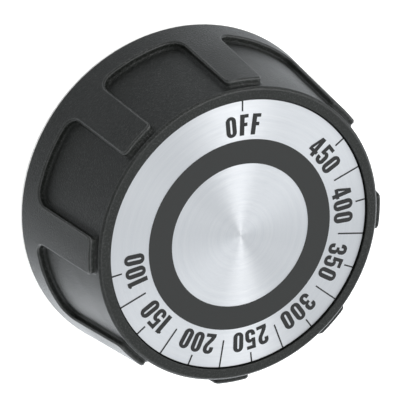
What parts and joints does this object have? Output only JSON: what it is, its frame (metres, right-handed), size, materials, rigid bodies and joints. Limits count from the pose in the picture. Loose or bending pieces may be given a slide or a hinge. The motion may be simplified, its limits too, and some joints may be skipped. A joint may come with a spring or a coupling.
{
  "type": "oven control knob",
  "caption": "Round black oven control knob: tapered fluted grip, spun metal dial plate with a printed heat scale, hollow ribbed back and a split hub with a D-shaped shaft socket.",
  "frame": {"origin": "centre of the knob's back plane, on the shaft axis", "axes": "+Z out of the dial along the shaft axis, +Y towards the grip land beside the OFF mark, +X to the right as the dial is read"},
  "size_m": [0.0586, 0.0586, 0.0228],
  "materials": {
    "black_moulding": "satin moulded",
    "spun_aluminium": "circular spun",
    "spring_steel": "rolled strip",
    "black_ink": "screen print"
  },
  "bodies": {
    "root": {"knob_body": "black_moulding", "dial_plate": "spun_aluminium", "hub_spring_ring": "spring_steel", "dial_ring_print": "black_ink", "dial_scale_print": "black_ink"}
  },
  "joints": []
}
